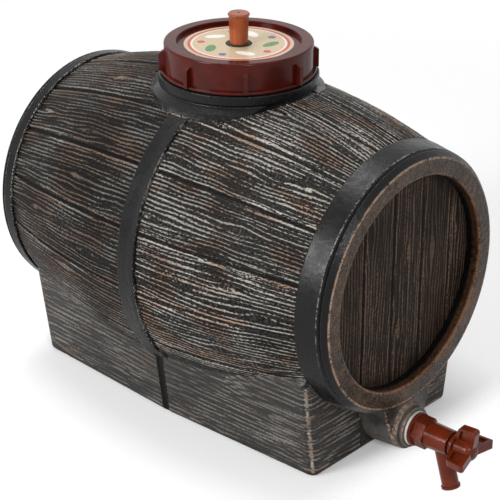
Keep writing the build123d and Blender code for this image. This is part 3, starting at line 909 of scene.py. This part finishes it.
plasticGrain = {
    "cloud": (60.0, 3.0, 0.5),
    "pores": (900.0, 2.0, 0.6),
    "darker": 0.82,
    "lighter": 1.15,
    "cloudLevels": (0.35, 0.65),
    "poreLevels": (0.3, 0.7),
    "roughShifts": (-0.02, 0.04),
    "poreBump": 0.02,
    "bumpStrength": 0.6,
}


def makePlastic(name, look):
    material, tree, shader = newMaterial(name, look["roughness"], look["specular"])
    point = placeOf(tree)
    cloud, pores = (noiseOf(tree, point, *plasticGrain[key]) for key in ("cloud", "pores"))
    darker, lighter = (scaled(look["color"], plasticGrain[key]) for key in ("darker", "lighter"))
    share = between(tree, cloud, *plasticGrain["cloudLevels"])
    tree.links.new(blendColors(tree, share, darker, lighter), shader.inputs["Base Color"])
    roughs = (look["roughness"] + change for change in plasticGrain["roughShifts"])
    tree.links.new(between(tree, pores, *plasticGrain["poreLevels"], *roughs), shader.inputs["Roughness"])
    relief = total(tree, cloud, product(tree, pores, plasticGrain["poreBump"]))
    addBump(tree, shader, relief, look["wave"], plasticGrain["bumpStrength"])
    return material


dressed = (
    ("lid plastic", plastics["lid"], ("lid_ring", "lid_disc")),
    ("tap plastic", plastics["tap"], ("tap_body", "tap_nut", "valve_spindle", "tap_handle")),
    ("plug plastic", plastics["plug"], ("vent_plug",)),
    ("white rubber", rubbers["white"], ("tap_outer_gasket", "tap_inner_gasket")),
    ("dark rubber", rubbers["dark"], ("lid_gasket", "plug_grommet", "valve_seal", "spindle_o_ring")),
)
for title, look, names in dressed:
    plastic = makePlastic(title, look)
    for name in names:
        dress(name, plastic)

label = {
    "paper": (0.58, 0.46, 0.29),
    "paperDark": 0.86,
    "red": (0.52, 0.03, 0.04),
    "white": (0.80, 0.78, 0.72),
    "green": (0.07, 0.20, 0.05),
    "violet": (0.13, 0.06, 0.20),
    "redRing": (0.0500, 0.0012, 0.0003),
    "whiteRing": (0.0470, 0.0005, 0.0003),
    "motifs": 5,
    "firstMotif": 0.25,  # its place, as a share of a turn
    "leafPlace": 0.032,
    "leafSize": (0.0105, 0.0052, 1.0),
    "leafTurn": 0.9,  # radians from the direction outwards
    "leafEdge": (1.05, 0.95),
    "berryPlace": 0.038,
    "berryAhead": 0.62,  # radians from the leaf
    "berryEdge": (0.0042, 0.0038),
    "fibres": (420.0, 3.0, 0.6, (1.0, 3.0, 1.0)),
    "fibreLevels": (0.3, 0.7),
    "roughness": (0.26, 0.36),
    "bump": (0.0001, 0.4),
}


def spotAt(reach, angle):
    return (reach * cos(angle), reach * sin(angle), 0.0)


def makeLabelMaterial():
    material, tree, shader = newMaterial("lid label", label["roughness"][0])
    point = placeOf(tree)
    plan = vectorMaths(tree, "MULTIPLY", point, (1, 1, 0))
    radius = vectorMaths(tree, "LENGTH", plan)
    fibres = noiseOf(tree, point, *label["fibres"])
    color = blendColors(tree, fibres, scaled(label["paper"], label["paperDark"]), label["paper"])
    color = blendColors(tree, band(tree, radius, *label["redRing"]), color, label["red"])
    color = blendColors(tree, band(tree, radius, *label["whiteRing"]), color, label["white"])
    for index in range(label["motifs"]):
        angle = 2 * pi * (label["firstMotif"] + index / label["motifs"])
        turn = tree.nodes.new("ShaderNodeMapping")
        turn.vector_type = "TEXTURE"
        turn.inputs["Location"].default_value = spotAt(label["leafPlace"], angle)
        turn.inputs["Rotation"].default_value = (0, 0, angle + label["leafTurn"])
        turn.inputs["Scale"].default_value = label["leafSize"]
        tree.links.new(plan, turn.inputs["Vector"])
        leaf = between(tree, vectorMaths(tree, "LENGTH", turn.outputs["Vector"]), *label["leafEdge"])
        color = blendColors(tree, leaf, color, label["green"] if index % 2 else label["white"])
        berry = spotAt(label["berryPlace"], angle + label["berryAhead"])
        disc = between(tree, vectorMaths(tree, "DISTANCE", plan, berry), *label["berryEdge"])
        color = blendColors(tree, disc, color, label["violet"] if index % 2 else label["red"])
    tree.links.new(color, shader.inputs["Base Color"])
    rough = between(tree, fibres, *label["fibreLevels"], *label["roughness"])
    tree.links.new(rough, shader.inputs["Roughness"])
    addBump(tree, shader, fibres, *label["bump"])
    return material


dress("lid_label", makeLabelMaterial())
print("lid and tap dressed")

# Table, world and lamps

studio = {
    "tableFront": -0.252,  # the table ends behind the spout, which hangs clear
    "tableReach": 4.0,
    "tableFade": 0.05,  # over which its front edge goes over into the white behind
    "tableRim": (0.50, 1.30),  # distances over which the rest of it does
    "tableColor": (0.82, 0.82, 0.82, 1.0),
    "tableGlow": 0.20,
    "tableRoughness": 0.7,
    "tableSpecular": 0.2,
    "worldStrength": 0.42,
    "lampTarget": (0, 0, 0.15),
    "lamps": {
        "left": {"from": (-2.05, 0.45, 1.15), "size": 0.8, "power": 36.0},
        "front": {"from": (-1.1, -1.7, 1.5), "size": 0.5, "power": 13.0},
        "top": {"from": (0.2, 0.7, 2.2), "size": 0.9, "power": 20.0},
    },
}

white = (1, 1, 1, 1)


def makeTable():
    mesh = bpy.data.meshes.new("table")
    reach, front = studio["tableReach"], studio["tableFront"]
    corners = [(-reach, front, 0), (reach, front, 0), (reach, reach, 0), (-reach, reach, 0)]
    mesh.from_pydata(corners, [], [(0, 1, 2, 3)])
    table = bpy.data.objects.new("table", mesh)
    material, tree, shader = newMaterial("pale table", studio["tableRoughness"], studio["tableSpecular"])
    shader.inputs["Base Color"].default_value = studio["tableColor"]
    seen = tree.nodes.new("ShaderNodeLightPath").outputs["Is Camera Ray"]
    shader.inputs["Emission Color"].default_value = white
    tree.links.new(product(tree, seen, studio["tableGlow"]), shader.inputs["Emission Strength"])
    place = placeOf(tree)
    edge = between(tree, splitOf(tree, place)[1], front + studio["tableFade"], front)
    rim = between(tree, vectorMaths(tree, "LENGTH", place), *studio["tableRim"])
    hidden = product(tree, largest(tree, edge, rim), seen)
    tree.links.new(maths(tree, "SUBTRACT", 1.0, hidden), shader.inputs["Alpha"])
    mesh.materials.append(material)
    bpy.context.scene.collection.objects.link(table)


def makeWorld():
    world = bpy.data.worlds.new("studio")
    bpy.context.scene.world = world
    world.use_nodes = True
    tree = world.node_tree
    background = tree.nodes["Background"]
    background.inputs["Color"].default_value = white
    path = tree.nodes.new("ShaderNodeLightPath").outputs
    seen = largest(tree, path["Is Camera Ray"], path["Is Glossy Ray"], path["Is Transmission Ray"])
    strength = total(tree, product(tree, seen, 1.0 - studio["worldStrength"]), studio["worldStrength"])
    tree.links.new(strength, background.inputs["Strength"])


def makeLamps():
    target = Vector(studio["lampTarget"])
    for name, lamp in studio["lamps"].items():
        light = bpy.data.lights.new(name, "AREA")
        light.size = lamp["size"]
        light.energy = lamp["power"]
        holder = bpy.data.objects.new(name, light)
        holder.location = lamp["from"]
        holder.rotation_euler = (Vector(lamp["from"]) - target).to_track_quat("Z", "Y").to_euler()
        bpy.context.scene.collection.objects.link(holder)


makeTable()
makeWorld()
makeLamps()
bpy.context.scene.view_settings.view_transform = "Standard"
print("studio made")
